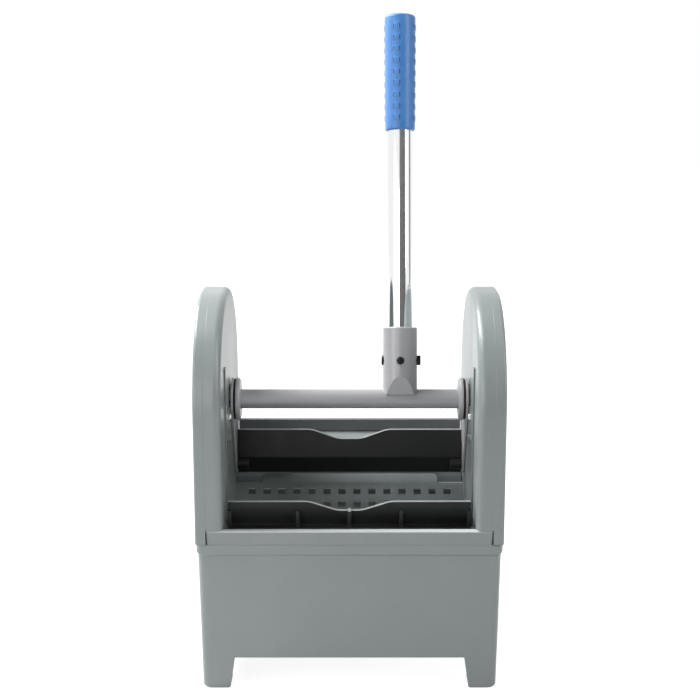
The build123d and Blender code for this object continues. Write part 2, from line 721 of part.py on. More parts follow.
def axle_rod():
    rod = along_x(axle_size / 2, -axle_half, axle_half)
    for side in (-1, 1):
        low, high = sorted((side * hub_start, side * axle_half))
        flat = axle_size / 2 - axle_flat
        rod -= block(low, high, -axle_size, axle_size, axle_height + flat, axle_height + axle_size)
        groove = along_x(axle_size, side * (hub_end + fit), side * groove_end)
        rod -= groove - along_x(clip_groove / 2, -axle_half, axle_half)
    return rod


def thrust_washer():
    diagonal = spigot_size * sqrt(2) / 2 + fit
    washer = along_x(washer_size / 2, washer_inner, washer_inner + washer_thickness)
    washer = fillet(washer.edges().filter_by(GeomType.CIRCLE), washer_edge)
    return washer - along_x(diagonal, washer_inner, washer_inner + washer_thickness)


def crank_arm():
    # Hub, pin end and jaw stop joined by their common tangents
    hub = Pos(0, axle_height) * Circle(arm_hub_size / 2)
    pin_end = Pos(jaw_pin_y, jaw_pin_z) * Circle(arm_pin_boss / 2)
    peg_end = Pos(jaw_stop_y, jaw_stop_z) * Circle(arm_peg_boss / 2)
    outline = make_hull(hub.edges() + pin_end.edges() + peg_end.edges())
    arm = side_plate(outline, arm_inner, arm_outer)
    arm = fillet([edge for face in arm.faces().filter_by(Axis.X) for edge in face.edges()], arm_edge)
    opening = spigot_size / 2 + fit
    arm -= block(arm_inner, arm_outer, -opening, opening, axle_height - opening, axle_height + opening)
    arm -= along_x(jaw_pin_size / 2 + fit, arm_inner, arm_outer, jaw_pin_y, jaw_pin_z)
    return arm + along_x(jaw_stop_size / 2, arm_inner - jaw_stop_reach, arm_inner, jaw_stop_y, jaw_stop_z)


def jaw_pin():
    inner_end = rear_jaw_length / 2 - jaw_pin_depth + seat_gap
    return along_x(jaw_pin_size / 2, inner_end, arm_outer, jaw_pin_y, jaw_pin_z)


def spring_hub():
    hub = along_x(hub_size / 2, hub_start, hub_end)
    bore = along_x(axle_size / 2 + fit, hub_start, hub_end)
    flat = axle_height + axle_size / 2 - axle_flat + fit
    bore -= block(hub_start, hub_end, -axle_size, axle_size, flat, flat + axle_size)
    slot_half = spring_strip / 2 + 2 * fit
    slot_floor = axle_height + spring_start - spring_tang - seat_gap
    hub -= bore
    return hub - block(hub_start, hub_end, -slot_half, slot_half, slot_floor, axle_height + hub_size)


def spiral(radius_shift):
    # Half circles that grow by half a pitch each, starting above the axle
    arcs = []
    for step in range(spring_half_turns):
        start = spring_start + step * spring_pitch / 2 + radius_shift
        end = start + spring_pitch / 2
        up = 1 if step % 2 == 0 else -1
        middle = up * (start - end) / 2
        arcs.append(ThreePointArc((0, up * start), (up * (start + end) / 2, middle), (0, -up * end)))
    return arcs


def return_spring():
    half = spring_strip / 2
    outer = spiral(half)
    inner = spiral(-half)
    ends = [Line(outer[0] @ 0, inner[0] @ 0), Line(outer[-1] @ 1, inner[-1] @ 1)]
    strip = make_face(Curve() + outer + inner + ends)
    strip += Pos(0, spring_start - spring_tang / 2) * Rectangle(spring_strip, spring_tang)
    eye = Pos(0, -spring_post_drop)
    strip += eye * Circle(spring_eye / 2)
    strip -= eye * Circle(spring_post / 2 + fit)
    return side_plate(Pos(0, axle_height) * strip, hub_start + spring_side_gap, hub_end - spring_side_gap)


def axle_clips():
    ring = along_x(clip_size / 2, clip_end - clip_width, clip_end)
    ring -= along_x(clip_groove / 2 + fit, hub_end, axle_half)
    mouth = clip_groove / 2 - fit
    ring -= block(hub_end, axle_half, -mouth, mouth, axle_height - clip_size, axle_height)
    return Compound([ring, mirrored(ring)])


def handle_tube():
    low = axle_height + socket_floor + fit
    high = axle_height + grip_top - grip_end_wall
    tube = Pos(handle_offset, 0, (low + high) / 2) * Cylinder(tube_size / 2, high - low)
    tube -= Pos(handle_offset, 0, (low + high) / 2) * Cylinder(tube_size / 2 - tube_wall, high - low)
    for place in socket_seats(screw_turns):
        tube -= place * Cylinder(hole_radius, socket_size / 2)
    for place in socket_seats(bolt_turns):
        tube -= place * Cylinder(bolt_size / 2 + fit, socket_size / 2)
    return leaned(tube)


def handle_grip():
    top = axle_height + grip_top
    foot = top - grip_length
    profile = make_face(Polyline((0, 0), (grip_foot_size / 2, 0), (grip_top_size / 2, grip_length),
                                 (0, grip_length), close=True))
    grip = revolve(Plane.XZ * profile, Axis.Z)
    grip = fillet(grip.edges().filter_by(GeomType.CIRCLE), grip_edge)
    first = (grip_length - (rib_count - 1) * rib_pitch) / 2
    ribs = []
    for row in range(rib_count):
        z = first + row * rib_pitch
        radius = grip_foot_size / 2 + (grip_top_size - grip_foot_size) / 2 * z / grip_length
        outline = make_face(Polyline(
            (radius - wall / 2, z - rib_height / 2),
            (radius, z - rib_height / 2),
            (radius + rib_proud, z - rib_height / 4),
            (radius + rib_proud, z + rib_height / 4),
            (radius, z + rib_height / 2),
            (radius - wall / 2, z + rib_height / 2),
            close=True,
        ))
        rib = revolve(Plane.XZ * outline, Axis.Z, rib_span)
        ribs += [Rot(0, 0, rib_turn - rib_span / 2 + quarter * 90) * rib for quarter in range(4)]
    grip += ribs
    bore = grip_length - grip_end_wall + fit
    grip -= Pos(0, 0, bore / 2) * Cylinder(tube_size / 2 + fit, bore)
    return leaned(Pos(handle_offset, 0, foot) * grip)


def main():
    single = {
        "base_tub": base_tub(),
        "rear_splash_strip": rear_splash_strip(),
        "cover_screws": cover_screws(),
        "panel_screws": panel_screws(),
        "basket_screws": basket_screws(),
        "sieve_basket": sieve_basket(),
        "front_jaw": front_jaw(),
        "front_jaw_screws": front_jaw_screws(),
        "rear_jaw": rear_jaw(),
        "lever_shaft": lever_shaft(),
        "axle_rod": axle_rod(),
        "axle_clips": axle_clips(),
        "handle_tube": handle_tube(),
        "handle_grip": handle_grip(),
        "socket_screws": socket_screws(),
        "cross_bolt": cross_bolt(),
    }
    right_hand = {
        "inner_panel": inner_panel(),
        "outer_cover": outer_cover(),
        "bush": bush(),
        "crank_arm": crank_arm(),
        "thrust_washer": thrust_washer(),
        "jaw_pin": jaw_pin(),
        "spring_hub": spring_hub(),
        "return_spring": return_spring(),
    }
    os.makedirs("parts", exist_ok=True)
    for name, piece in single.items():
        export_step(piece, f"parts/{name}.step")
    for name, piece in right_hand.items():
        export_step(piece, f"parts/right_{name}.step")
        export_step(mirrored(piece), f"parts/left_{name}.step")


main()
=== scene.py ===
import json
import math
import bmesh
import bpy
from mathutils import Matrix, Vector


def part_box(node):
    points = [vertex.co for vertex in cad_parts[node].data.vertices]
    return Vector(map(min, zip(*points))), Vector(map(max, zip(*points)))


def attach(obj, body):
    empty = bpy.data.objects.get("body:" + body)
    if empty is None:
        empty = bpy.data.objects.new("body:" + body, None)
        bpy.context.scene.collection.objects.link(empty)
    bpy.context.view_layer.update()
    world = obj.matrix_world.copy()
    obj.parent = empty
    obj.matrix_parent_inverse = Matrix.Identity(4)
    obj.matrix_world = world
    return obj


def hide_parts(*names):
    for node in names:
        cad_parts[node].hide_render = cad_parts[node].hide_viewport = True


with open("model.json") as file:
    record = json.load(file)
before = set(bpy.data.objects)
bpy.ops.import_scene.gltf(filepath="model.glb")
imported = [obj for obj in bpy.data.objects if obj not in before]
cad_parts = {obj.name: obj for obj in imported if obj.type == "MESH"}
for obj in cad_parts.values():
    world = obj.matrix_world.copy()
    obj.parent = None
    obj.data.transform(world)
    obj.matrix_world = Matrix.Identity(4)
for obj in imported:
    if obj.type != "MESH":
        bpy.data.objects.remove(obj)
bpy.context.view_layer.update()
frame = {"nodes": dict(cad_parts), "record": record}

scene = bpy.context.scene
nodes = frame["nodes"]
mm = 0.001
weld = 0.001 * mm  # points nearer than this become one
touch = 0.01 * mm  # a point this near to a circle or plane lies on it


def hexColour(code):  # sRGB hex to the linear colour that shaders take
    parts = [int(code[i:i + 2], 16) / 255 for i in (1, 3, 5)]
    linear = [c / 12.92 if c <= 0.04045 else ((c + 0.055) / 1.055) ** 2.4 for c in parts]
    return (*linear, 1.0)


def addNode(tree, kind, links=None, **settings):  # a node, its settings, and its inputs as values or links
    node = tree.nodes.new(kind)
    for key, value in settings.items():
        setattr(node, key, value)
    for key, value in (links or {}).items():
        if isinstance(value, bpy.types.NodeSocket):
            tree.links.new(value, node.inputs[key])
        else:
            node.inputs[key].default_value = value
    return node


def newMaterial(name):  # a material with an empty tree
    mat = bpy.data.materials.new(name)
    mat.use_nodes = True
    mat.node_tree.nodes.clear()
    return mat


def perMetre(sizeMm):  # noise scale whose blotches are about this many millimetres
    return 1 / (sizeMm * mm)


# what all the finishes share
surface = {"cloudDetail": 4.0, "cloudRoughness": 0.6, "grainDetail": 2.0, "hazeDetail": 5.0,
           "noiseLow": 0.3, "noiseHigh": 0.7,  # most of a noise lies between these
           "edgeSamples": 6, "edgeStart": 0.98, "edgeFull": 0.75,  # cosines of the turn that shows wear
           "topHalfMm": 1.3, "topStart": 0.1, "topFull": 0.5}  # height and upward slopes of a painted highlight along a top edge


def mouldedPlastic(name, look):
    # two close tones in clouds, the tool's texture, soft edges that are burnished a little paler, and painted
    # highlights in the same pale colour on faces that a piece marks or on an upward-facing top edge; the real
    # texture is too fine to show, so the grain is drawn coarser
    mat = newMaterial(name)
    tree = mat.node_tree
    coord = addNode(tree, "ShaderNodeTexCoord").outputs["Object"]
    cloud = addNode(tree, "ShaderNodeTexNoise", {
        "Vector": coord, "Scale": perMetre(look["cloudMm"]), "Detail": surface["cloudDetail"],
        "Roughness": surface["cloudRoughness"]})
    grain = addNode(tree, "ShaderNodeTexNoise", {
        "Vector": coord, "Scale": perMetre(look["grainMm"]), "Detail": surface["grainDetail"]})
    edge = addNode(tree, "ShaderNodeBevel", {"Radius": look["edgeMm"] * mm}, samples=surface["edgeSamples"])
    flat = addNode(tree, "ShaderNodeNewGeometry")
    bend = addNode(tree, "ShaderNodeVectorMath", {0: edge.outputs["Normal"], 1: flat.outputs["Normal"]},
                   operation="DOT_PRODUCT")  # under 1 where the soft edge turns away from the face
    worn = addNode(tree, "ShaderNodeMapRange", {
        "Value": bend.outputs["Value"], "From Min": surface["edgeStart"], "From Max": surface["edgeFull"],
        "To Min": 0.0, "To Max": look["edgeWear"]})
    # painted highlight: faces that a piece marks are drawn in the pale worn colour
    paintedHighlight = addNode(tree, "ShaderNodeAttribute", attribute_name="paintedHighlight")  # faces that a piece marks
    wearAndHighlight = addNode(tree, "ShaderNodeMath", {0: worn.outputs["Result"], 1: paintedHighlight.outputs["Fac"]},
                   operation="MAXIMUM")
    if "paintedTopHighlight" in look:  # painted highlight: a rounded upper edge at one height in mm, drawn paler where it faces up
        height = addNode(tree, "ShaderNodeSeparateXYZ", {0: coord}).outputs["Z"]
        upward = addNode(tree, "ShaderNodeSeparateXYZ", {0: flat.outputs["Normal"]}).outputs["Z"]
        near = addNode(tree, "ShaderNodeMath", {
            0: height, 1: look["paintedTopHighlight"] * mm, 2: surface["topHalfMm"] * mm}, operation="COMPARE")
        slope = addNode(tree, "ShaderNodeMapRange", {
            "Value": upward, "From Min": surface["topStart"], "From Max": surface["topFull"]})
        top = addNode(tree, "ShaderNodeMath", {0: near.outputs[0], 1: slope.outputs["Result"]},
                      operation="MULTIPLY")
        wearAndHighlight = addNode(tree, "ShaderNodeMath", {0: wearAndHighlight.outputs[0], 1: top.outputs[0]}, operation="MAXIMUM")
    tone = addNode(tree, "ShaderNodeMix", {  # 0 is the share, 6 and 7 the two colours, output 2 their mix
        0: cloud.outputs["Fac"], 6: hexColour(look["dark"]), 7: hexColour(look["light"])}, data_type="RGBA")
    # worn edges and painted highlights both take the worn colour
    paler = addNode(tree, "ShaderNodeMix", {
        0: wearAndHighlight.outputs[0], 6: tone.outputs[2], 7: hexColour(look["worn"])}, data_type="RGBA")
    gloss = addNode(tree, "ShaderNodeMapRange", {
        "Value": cloud.outputs["Fac"], "From Min": surface["noiseLow"], "From Max": surface["noiseHigh"],
        "To Min": look["gloss"][0], "To Max": look["gloss"][1]})
    bump = addNode(tree, "ShaderNodeBump", {
        "Height": grain.outputs["Fac"], "Distance": look["grainHeightMm"] * mm,
        "Strength": look["grainStrength"], "Normal": edge.outputs["Normal"]})
    shader = addNode(tree, "ShaderNodeBsdfPrincipled", {
        "Base Color": paler.outputs[2], "Normal": bump.outputs["Normal"],
        "Roughness": gloss.outputs["Result"], "IOR": look["ior"], "Sheen Weight": look.get("sheen", 0.0)})
    addNode(tree, "ShaderNodeOutputMaterial", {"Surface": shader.outputs["BSDF"]})
    return mat


def platedMetal(name, look):
    # bare or plated metal: the colour is its reflection, broken by fine haze, with softened edges
    mat = newMaterial(name)
    tree = mat.node_tree
    coord = addNode(tree, "ShaderNodeTexCoord").outputs["Object"]
    haze = addNode(tree, "ShaderNodeTexNoise", {
        "Vector": coord, "Scale": perMetre(look["hazeMm"]), "Detail": surface["hazeDetail"]})
    tone = addNode(tree, "ShaderNodeMix", {
        0: haze.outputs["Fac"], 6: hexColour(look["dark"]), 7: hexColour(look["light"])}, data_type="RGBA")
    gloss = addNode(tree, "ShaderNodeMapRange", {
        "Value": haze.outputs["Fac"], "From Min": surface["noiseLow"], "From Max": surface["noiseHigh"],
        "To Min": look["gloss"][0], "To Max": look["gloss"][1]})
    edge = addNode(tree, "ShaderNodeBevel", {"Radius": look["edgeMm"] * mm}, samples=surface["edgeSamples"])
    shader = addNode(tree, "ShaderNodeBsdfPrincipled", {
        "Base Color": tone.outputs[2], "Metallic": 1.0, "Roughness": gloss.outputs["Result"],
        "Normal": edge.outputs["Normal"]})
    addNode(tree, "ShaderNodeOutputMaterial", {"Surface": shader.outputs["BSDF"]})
    return mat


# injection-moulded polypropylene from a finely eroded tool: satin grey with a faint green cast,
# and a gloss that picks up the white studio at a low angle
greyBody = {"dark": "#899190", "light": "#929a9a", "worn": "#a6adad", "cloudMm": 60, "grainMm": 2.4,
            "grainHeightMm": 0.015, "grainStrength": 0.12, "edgeMm": 0.9, "edgeWear": 0.35,
            "gloss": (0.29, 0.35), "ior": 1.49}
finishes = {
    "grey_polypropylene": mouldedPlastic("greyPolypropylene", greyBody),
    # glass-filled nylon from a polished tool: neutral grey, a little glossier than the body
    "grey_nylon": mouldedPlastic("greyNylon", {
        "dark": "#a6a6a8", "light": "#aeaeb0", "worn": "#bebebe", "cloudMm": 25, "grainMm": 2.0,
        "grainHeightMm": 0.012, "grainStrength": 0.12, "edgeMm": 0.6, "edgeWear": 0.3,
        "gloss": (0.28, 0.32), "ior": 1.53}),
    # black moulded polypropylene: satin, its edges worn a little paler; the same pale colour is also a
    # painted highlight on the upward-facing rims of the jaws
    "black_plastic": mouldedPlastic("blackPolypropylene", {
        "dark": "#0a0b0c", "light": "#101113", "worn": "#a2a8a8", "cloudMm": 18, "grainMm": 2.0,
        "grainHeightMm": 0.02, "grainStrength": 0.15, "edgeMm": 0.7, "edgeWear": 0.28,
        "gloss": (0.44, 0.54), "ior": 1.42}),
    # extruded rigid vinyl: grey, dull, slightly scuffed
    "dark_grey_plastic": mouldedPlastic("extrudedVinyl", {
        "dark": "#787a7c", "light": "#828486", "worn": "#96989a", "cloudMm": 30, "grainMm": 1.4,
        "grainHeightMm": 0.04, "grainStrength": 0.2, "edgeMm": 0.5, "edgeWear": 0.4,
        "gloss": (0.42, 0.52), "ior": 1.49}),
    # nitrile rubber: matt black with no bright edge
    "black_rubber": mouldedPlastic("nitrileRubber", {
        "dark": "#121212", "light": "#181818", "worn": "#242424", "cloudMm": 8, "grainMm": 1.0,
        "grainHeightMm": 0.04, "grainStrength": 0.3, "edgeMm": 0.4, "edgeWear": 0.3,
        "gloss": (0.55, 0.65), "ior": 1.52}),
    # dipped vinyl: mid blue, soft sheen, paler where hands rub the ribs
    "blue_vinyl": mouldedPlastic("blueVinyl", {
        "dark": "#3c79be", "light": "#4684ca", "worn": "#86aedd", "cloudMm": 12, "grainMm": 2.0,
        "grainHeightMm": 0.02, "grainStrength": 0.15, "edgeMm": 0.5, "edgeWear": 0.5,
        "gloss": (0.34, 0.46), "ior": 1.52, "sheen": 0.25}),
    # chromium plate on drawn tube: nearly a mirror, a trace of haze
    "chromed_steel": platedMetal("chromePlate", {
        "dark": "#eeeef0", "light": "#f6f6f7", "hazeMm": 14, "edgeMm": 0.3, "gloss": (0.05, 0.10)}),
    # zinc-plated steel: pale grey with a dull, cloudy shine
    "bright_steel": platedMetal("zincPlatedSteel", {
        "dark": "#b4b4b4", "light": "#c8c8c6", "hazeMm": 3, "edgeMm": 0.3, "gloss": (0.28, 0.42)}),
    # black oxide on steel: near black with a soft, oily shine
    "black_steel": platedMetal("blackOxideSteel", {
        "dark": "#2a2a2b", "light": "#343435", "hazeMm": 3, "edgeMm": 0.3, "gloss": (0.35, 0.5)}),
    # blued spring steel: slate with a bluish glint
    "spring_steel": platedMetal("bluedSpringSteel", {
        "dark": "#6d7480", "light": "#7f8690", "hazeMm": 4, "edgeMm": 0.2, "gloss": (0.29, 0.37)}),
    # turned acetal: milky white, waxy
    "white_acetal": mouldedPlastic("whiteAcetal", {
        "dark": "#d8d8d2", "light": "#e2e2dc", "worn": "#ecece8", "cloudMm": 10, "grainMm": 1.2,
        "grainHeightMm": 0.02, "grainStrength": 0.15, "edgeMm": 0.3, "edgeWear": 0.3,
        "gloss": (0.3, 0.4), "ior": 1.48}),
}
ownFinishes = {
    # painted shade: the same polypropylene drawn darker for the shade deep under the jaws, and a little
    # glossier
    "sieve_basket": mouldedPlastic("polypropyleneInPaintedShade", {
        **greyBody, "dark": "#6f7675", "light": "#7a8180", "worn": "#8f9695", "cloudMm": 35, "edgeMm": 0.7,
        "gloss": (0.28, 0.32), "ior": 1.5}),
    # the same again, with a painted highlight: the upward-facing top of its ring drawn pale in its worn
    # colour
    "base_tub": mouldedPlastic("polypropyleneWithPaintedHighlight", {
        **greyBody, "worn": "#c6cccc", "edgeWear": 0.2, "paintedTopHighlight": 165.0}),
}
for row in frame["record"]["subparts"]:  # every CAD node gets its own finish or that of its slot
    mesh = nodes[row["node"]].data
    mesh.materials.clear()
    mesh.materials.append(ownFinishes.get(row["node"], finishes[row["material_slot"]]))
print("finishes on", len(nodes), "nodes")


# Pieces with the detail that the solids leave out
def turned(bm, profile, steps):  # spins a line of points, each a radius and a height in mm, once round Z
    points = [bm.verts.new((radius * mm, 0, height * mm)) for radius, height in profile]
    line = [bm.edges.new(pair) for pair in zip(points, points[1:])]
    bmesh.ops.spin(bm, geom=points + line, cent=(0, 0, 0), axis=(0, 0, 1), angle=2 * math.pi, steps=steps,
                   use_merge=True)
    bmesh.ops.remove_doubles(bm, verts=bm.verts[:], dist=weld)
    bmesh.ops.recalc_face_normals(bm, faces=bm.faces[:])


def circleEdges(bm, radius, height):  # edges of a spun shape that lie on one circle
    def onCircle(vert):
        return abs(vert.co.z - height * mm) < touch and abs(vert.co.xy.length - radius * mm) < touch
    return [edge for edge in bm.edges if all(onCircle(vert) for vert in edge.verts)]


def roundOff(bm, edges, radius, segments):
    bmesh.ops.bevel(bm, geom=edges, offset=radius * mm, offset_type="OFFSET", segments=segments,
                    profile=0.5, affect="EDGES", clamp_overlap=True, material=-1)


def addPiece(name, bm, look):  # smooth but for its sharp edges, with its slot's finish, on its body
    bmesh.ops.remove_doubles(bm, verts=bm.verts[:], dist=weld)
    bmesh.ops.recalc_face_normals(bm, faces=bm.faces[:])
    for face in bm.faces:
        face.smooth = True
    for edge in bm.edges:
        edge.smooth = edge.calc_face_angle(0.0) < math.radians(look["sharp"])
    mesh = bpy.data.meshes.new(name)
    bm.to_mesh(mesh)
    bm.free()
    mesh.materials.append(finishes[look["slot"]])
    piece = bpy.data.objects.new(name, mesh)
    scene.collection.objects.link(piece)
    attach(piece, look["body"])
    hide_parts(look["stands"])
    print("made", name, len(mesh.polygons), "faces")


# The handle's own frame, in mm and degrees: Z along the tube, origin on the axle
handle = {"offset": 52.0, "axle": 270.0, "lean": 11.0}
onHandle = (Matrix.Translation(Vector((handle["offset"], 0, handle["axle"])) * mm)
            @ Matrix.Rotation(-math.radians(handle["lean"]), 4, "X"))

handleTube = {"radius": 12.7, "wall": 1.5, "foot": 20.05, "top": 388.1, "steps": 96,
              "edge": 0.4, "segments": 3,
              "sharp": 35, "slot": "chromed_steel", "body": "lever", "stands": "handle_tube"}
bm = bmesh.new()
outer, inner = handleTube["radius"], handleTube["radius"] - handleTube["wall"]
foot, top = handleTube["foot"], handleTube["top"]
turned(bm, [(outer, foot), (outer, top), (inner, top), (inner, foot), (outer, foot)], handleTube["steps"])
ends = [(radius, height) for radius in (outer, inner) for height in (foot, top)]
rims = [edge for radius, height in ends for edge in circleEdges(bm, radius, height)]
roundOff(bm, rims, handleTube["edge"], handleTube["segments"])
bmesh.ops.transform(bm, matrix=onHandle, verts=bm.verts[:])
addPiece("handleTube", bm, handleTube)

handleGrip = {"foot": 275.7, "top": 394.1, "footRadius": 15.2, "topRadius": 15.8,
              "bore": 12.75, "endWall": 6.0,
              "ribs": 9, "ribPitch": 11.6, "ribHeight": 6.8, "ribTurns": (-15, 75, 165, 255), "ribSpan": 27,
              "ribShoulder": 0.8, "ribProud": (0.3, 0.2), "steps": 120,
              "topEdge": 3.0, "topSegments": 5, "footEdge": 2.2, "footSegments": 4,
              "sharp": 50, "slot": "blue_vinyl", "body": "lever", "stands": "handle_grip"}
bm = bmesh.new()
foot, top, bore = handleGrip["foot"], handleGrip["top"], handleGrip["bore"]
boreTop = top - handleGrip["endWall"]
middleRib = (foot + top) / 2
ribMiddles = [middleRib + handleGrip["ribPitch"] * (row - (handleGrip["ribs"] - 1) / 2)
              for row in range(handleGrip["ribs"])]
halfRib = handleGrip["ribHeight"] / 2
taper = (handleGrip["topRadius"] - handleGrip["footRadius"]) / (top - foot)
heights = [foot] + [middle + side for middle in ribMiddles for side in (-halfRib, halfRib)] + [top]
wallLine = [(handleGrip["footRadius"] + taper * (height - foot), height) for height in heights]
turned(bm, [(0, boreTop), (bore, boreTop), (bore, foot)] + wallLine + [(0, top)], handleGrip["steps"])
halfStep = Matrix.Rotation(math.radians(180 / handleGrip["steps"]), 3, "Z")
bmesh.ops.rotate(bm, verts=bm.verts[:], cent=(0, 0, 0), matrix=halfStep)  # columns end at the panels' sides
inWall = (bore + handleGrip["footRadius"]) / 2  # faces further out than this are the grip's outside
ribFaces = []
for face in bm.faces:
    spot = face.calc_center_median()
    turn = math.degrees(math.atan2(spot.y, spot.x))
    offPanels = [abs((turn - panel + 180) % 360 - 180) for panel in handleGrip["ribTurns"]]
    inPanel = min(offPanels) < handleGrip["ribSpan"] / 2
    inRow = any(abs(spot.z / mm - middle) < halfRib / 2 for middle in ribMiddles)
    if inPanel and inRow and spot.xy.length > inWall * mm:
        ribFaces.append(face)
for proud in handleGrip["ribProud"]:  # two steps outwards give the ribs their soft shoulders
    bmesh.ops.inset_region(bm, faces=ribFaces, thickness=handleGrip["ribShoulder"] * mm, use_boundary=True)
    swell = 1 + proud / handleGrip["topRadius"]
    ribVerts = list({vert for face in ribFaces for vert in face.verts})
    bmesh.ops.scale(bm, vec=(swell, swell, 1), verts=ribVerts)
topRim = circleEdges(bm, handleGrip["topRadius"], top)
roundOff(bm, topRim, handleGrip["topEdge"], handleGrip["topSegments"])
footRim = circleEdges(bm, handleGrip["footRadius"], foot)
roundOff(bm, footRim, handleGrip["footEdge"], handleGrip["footSegments"])
bmesh.ops.transform(bm, matrix=onHandle, verts=bm.verts[:])
addPiece("handleGrip", bm, handleGrip)


def addRings(bm, loop, rings, turn=0.0):  # bridges a loop of edges to rings of sides, radius and height in mm
    for sides, radius, height in rings:
        place = Matrix.Translation((0, 0, height * mm)) @ Matrix.Rotation(math.radians(turn), 4, "Z")
        ring = bmesh.ops.create_circle(bm, segments=sides, radius=radius * mm, matrix=place)
        edges = list({edge for vert in ring["verts"] for edge in vert.link_edges})
        if loop:
            bmesh.ops.bridge_loops(bm, edges=loop + edges)
        loop = edges
    return loop


# the dome is in shares of the head's radius and height
screwHead = {"cells": 5, "dome": ((0.8, 0.94), (0.93, 0.72), (1.0, 0.38)), "tip": 0.6, "slotSlope": 0.12}


def crossScrew(look):  # domed head with a cross recess on a plain shank, along Z with its seat at the origin
    bm = bmesh.new()
    radius, height, cells = look["head"] / 2, look["height"], screwHead["cells"]
    shank, length, tip = look["shank"] / 2, look["length"], screwHead["tip"]
    half = radius / 2
    bmesh.ops.create_grid(bm, x_segments=cells, y_segments=cells, size=half * mm,
                          matrix=Matrix.Translation((0, 0, height * mm)))
    border = [edge for edge in bm.edges if edge.is_boundary]
    halfCell = half / cells
    slots = [face for face in bm.faces if min(abs(c) for c in face.calc_center_median().xy) < halfCell * mm]
    outline = [(across * radius, up * height) for across, up in screwHead["dome"]]
    outline += [(radius, 0), (shank, 0), (shank, tip - length), (shank - tip, -length)]
    end = addRings(bm, border, [(4 * cells, size, rise) for size, rise in outline], turn=45)
    bmesh.ops.contextual_create(bm, geom=end)
    bmesh.ops.recalc_face_normals(bm, faces=bm.faces[:])
    bmesh.ops.inset_region(bm, faces=slots, thickness=screwHead["slotSlope"] * mm, depth=-look["recess"] * mm,
                           use_boundary=True, use_even_offset=True)
    return bm


def setOut(shape, places, onto=None):  # copies of a shape in a new mesh, or added to one already begun
    source = bpy.data.meshes.new("source")
    shape.to_mesh(source)
    shape.free()
    bm = bmesh.new() if onto is None else onto
    for place in places:
        before = len(bm.verts)
        bm.from_mesh(source)
        bm.verts.ensure_lookup_table()
        bmesh.ops.transform(bm, matrix=place, verts=bm.verts[before:])
    bpy.data.meshes.remove(source)
    return bm


facings = {"right": ("Y", 90), "left": ("Y", -90), "front": ("X", 90), "back": ("X", -90), "down": ("X", 180)}


def facing(side, at, turn=0.0):  # a place in mm whose Z looks to one side
    axis, angle = facings[side]
    return (Matrix.Translation(Vector(at) * mm) @ Matrix.Rotation(math.radians(angle), 4, axis)
            @ Matrix.Rotation(math.radians(turn), 4, "Z"))


# on a housing or cheek, each head is turned by so many degrees more than the one before
coverScrews = {"seat": 144.4, "spots": ((0, 366), (86.48, 323), (-86.48, 323), (98, 194), (-98, 194)),
               "turn": 23, "head": 8.0, "height": 2.4, "shank": 4.0, "length": 15.2, "recess": 1.1,
               "sharp": 35, "slot": "bright_steel", "body": "body", "stands": "cover_screws"}
places = [facing(side, (sign * coverScrews["seat"], y, z), coverScrews["turn"] * count)
          for side, sign in (("right", 1), ("left", -1))
          for count, (y, z) in enumerate(coverScrews["spots"])]
addPiece("coverScrews", setOut(crossScrew(coverScrews), places), coverScrews)

basketScrews = {"seat": 121.6, "spots": ((-38, 260), (46, 252)), "turn": 31,
                "head": 8.0, "height": 2.4, "shank": 4.0, "length": 12.0, "recess": 1.1,
                "sharp": 35, "slot": "bright_steel", "body": "body", "stands": "basket_screws"}
places = [facing(side, (sign * basketScrews["seat"], y, z), basketScrews["turn"] * count)
          for side, sign in (("left", 1), ("right", -1))
          for count, (y, z) in enumerate(basketScrews["spots"])]
addPiece("basketScrews", setOut(crossScrew(basketScrews), places), basketScrews)

jawScrews = {"spots": (-89.55, -29.85, 29.85, 89.55), "back": -103.22, "seat": 158.0,
             "head": 8.0, "height": 2.4, "shank": 4.0, "length": 5.4, "recess": 1.1,
             "sharp": 35, "slot": "black_steel", "body": "body", "stands": "front_jaw_screws"}
places = [facing("down", (x, jawScrews["back"], jawScrews["seat"]), turn=x)  # its place serves as its turn
          for x in jawScrews["spots"]]
addPiece("frontJawScrews", setOut(crossScrew(jawScrews), places), jawScrews)

socketScrews = {"rise": 39.7, "seat": 16.55, "turn": 20,
                "head": 7.4, "height": 2.6, "shank": 4.0, "length": 5.9, "recess": 1.2,
                "sharp": 35, "slot": "black_steel", "body": "lever", "stands": "socket_screws"}
seat, rise = socketScrews["seat"], socketScrews["rise"]
places = [onHandle @ facing(side, (0, sign * seat, rise), socketScrews["turn"])
          for side, sign in (("front", -1), ("back", 1))]
addPiece("socketScrews", setOut(crossScrew(socketScrews), places), socketScrews)

crossBolt = {"rise": 39.7, "seat": 16.55, "turn": 12,
             "head": 11.0, "height": 2.6, "shank": 6.0, "length": 37.7, "recess": 1.3,
             "nutFlats": 10.0, "nutHeight": 4.6, "nutChamfer": 0.6, "boreRadius": 3.05, "boreSides": 24,
             "sharp": 30, "slot": "black_steel", "body": "lever", "stands": "cross_bolt"}
headPlace = onHandle @ facing("left", (-crossBolt["seat"], 0, crossBolt["rise"]), crossBolt["turn"])
nutPlace = onHandle @ facing("right", (crossBolt["seat"], 0, crossBolt["rise"]))
corner = crossBolt["nutFlats"] / math.sqrt(3)
high, chamfer = crossBolt["nutHeight"], crossBolt["nutChamfer"]
boreRadius, boreSides = crossBolt["boreRadius"], crossBolt["boreSides"]
nut = bmesh.new()
addRings(nut, [], [(6, corner - chamfer, 0), (6, corner, chamfer / 2), (6, corner, high - chamfer / 2),
                   (6, corner - chamfer, high), (boreSides, boreRadius, high), (boreSides, boreRadius, 0),
                   (6, corner - chamfer, 0)])
bmesh.ops.remove_doubles(nut, verts=nut.verts[:], dist=weld)
bm = setOut(crossScrew(crossBolt), [headPlace])
addPiece("crossBolt", setOut(nut, [nutPlace], onto=bm), crossBolt)
